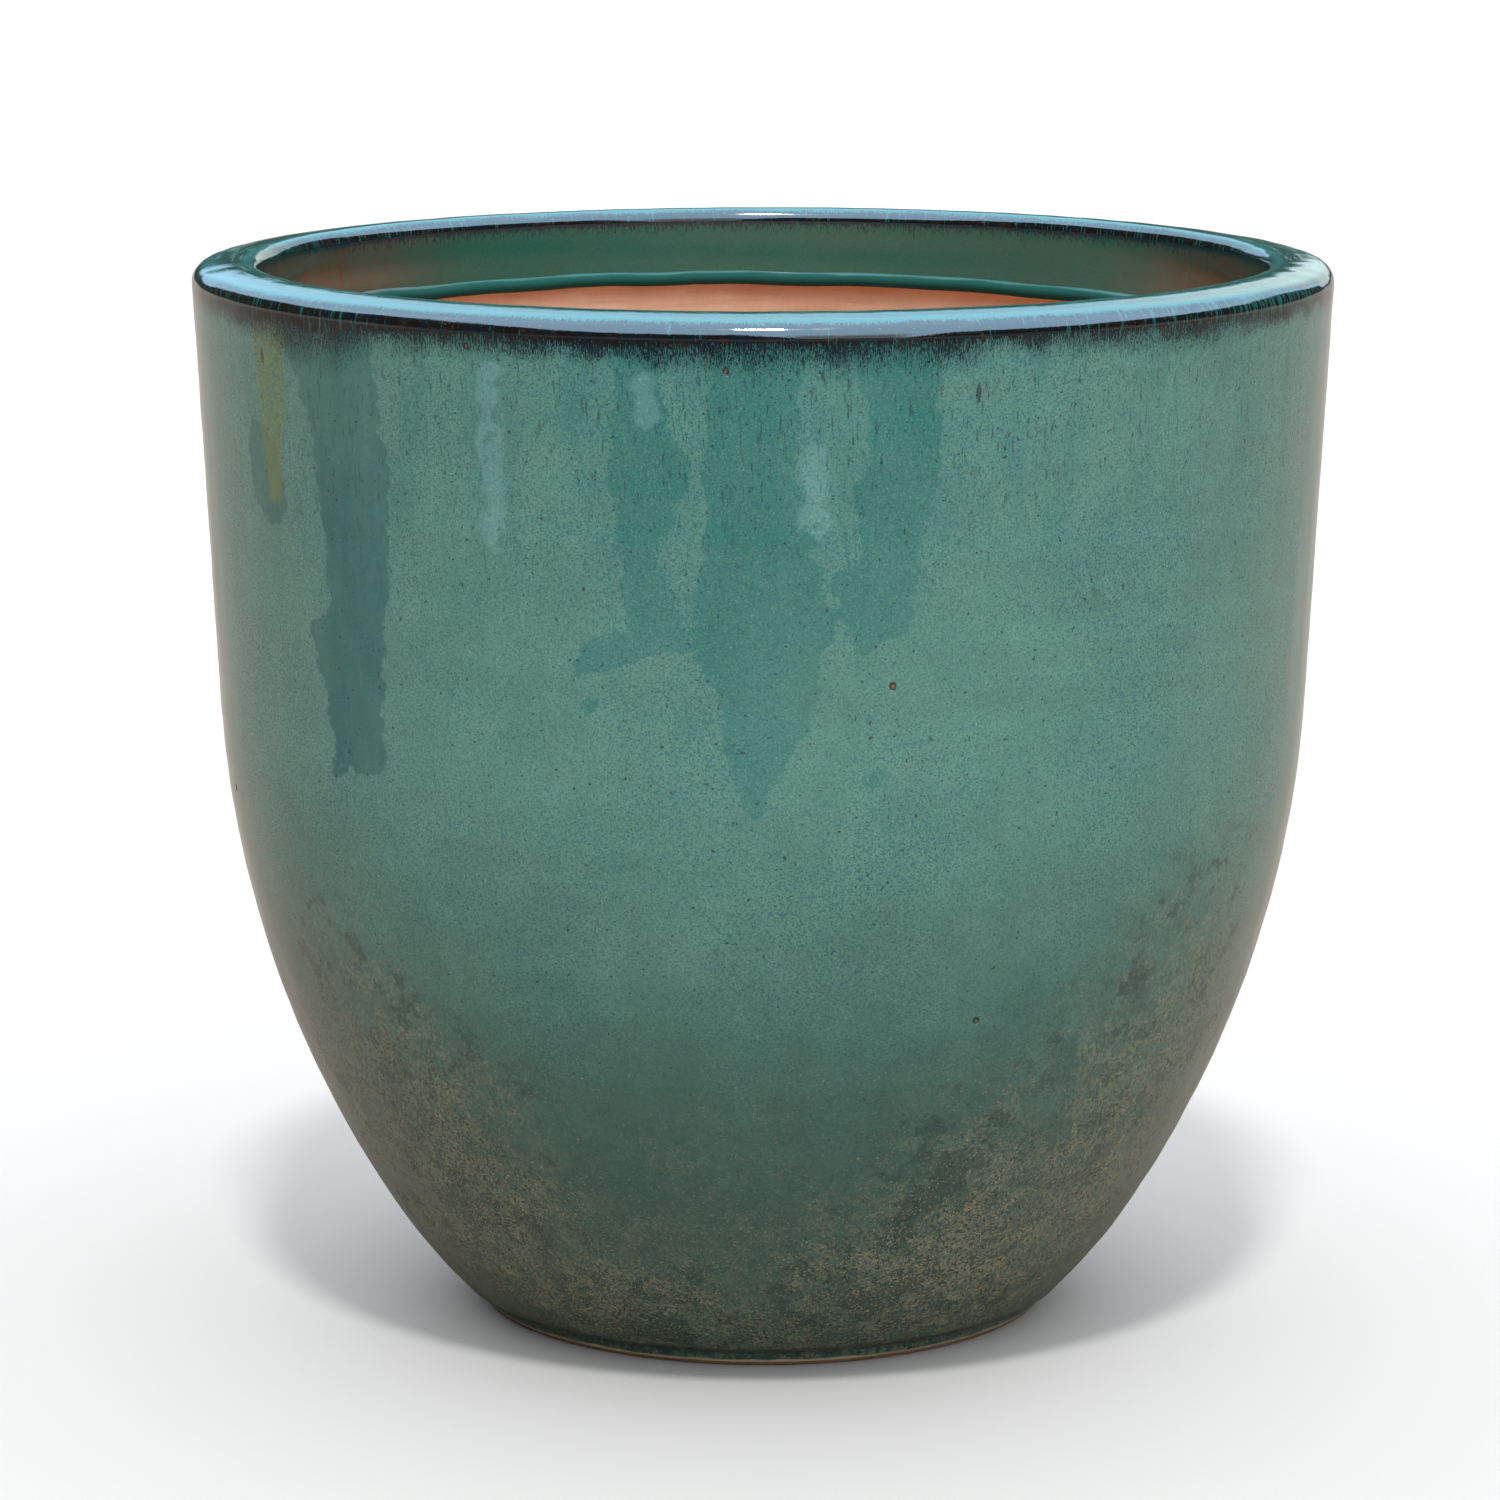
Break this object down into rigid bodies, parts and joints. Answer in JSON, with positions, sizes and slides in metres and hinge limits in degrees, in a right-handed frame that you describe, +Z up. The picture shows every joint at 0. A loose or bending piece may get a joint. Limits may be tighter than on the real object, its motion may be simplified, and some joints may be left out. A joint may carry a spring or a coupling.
{
  "type": "glazed planter",
  "caption": "Large round open planter of red clay with a thick rounded lip, a belly that narrows to a foot ring, a glazed outside and a drain hole.",
  "frame": {"origin": "centre of the foot ring, on the ground that it stands on", "axes": "+Z up along the axis that the pot is turned about; +X and +Y are level and alike"},
  "size_m": [0.6204, 0.6204, 0.581],
  "materials": {
    "bare_clay": "matt fired red clay",
    "sage_glaze": "glossy mottled sage and teal glaze",
    "lip_glaze": "glossy dark teal glaze breaking to brown black at the edges"
  },
  "bodies": {
    "root": {"floor_slab": "bare_clay", "wall": "bare_clay", "rim_ring": "bare_clay", "body_glaze": "sage_glaze", "rim_glaze": "lip_glaze", "collar_glaze": "sage_glaze"}
  },
  "joints": []
}
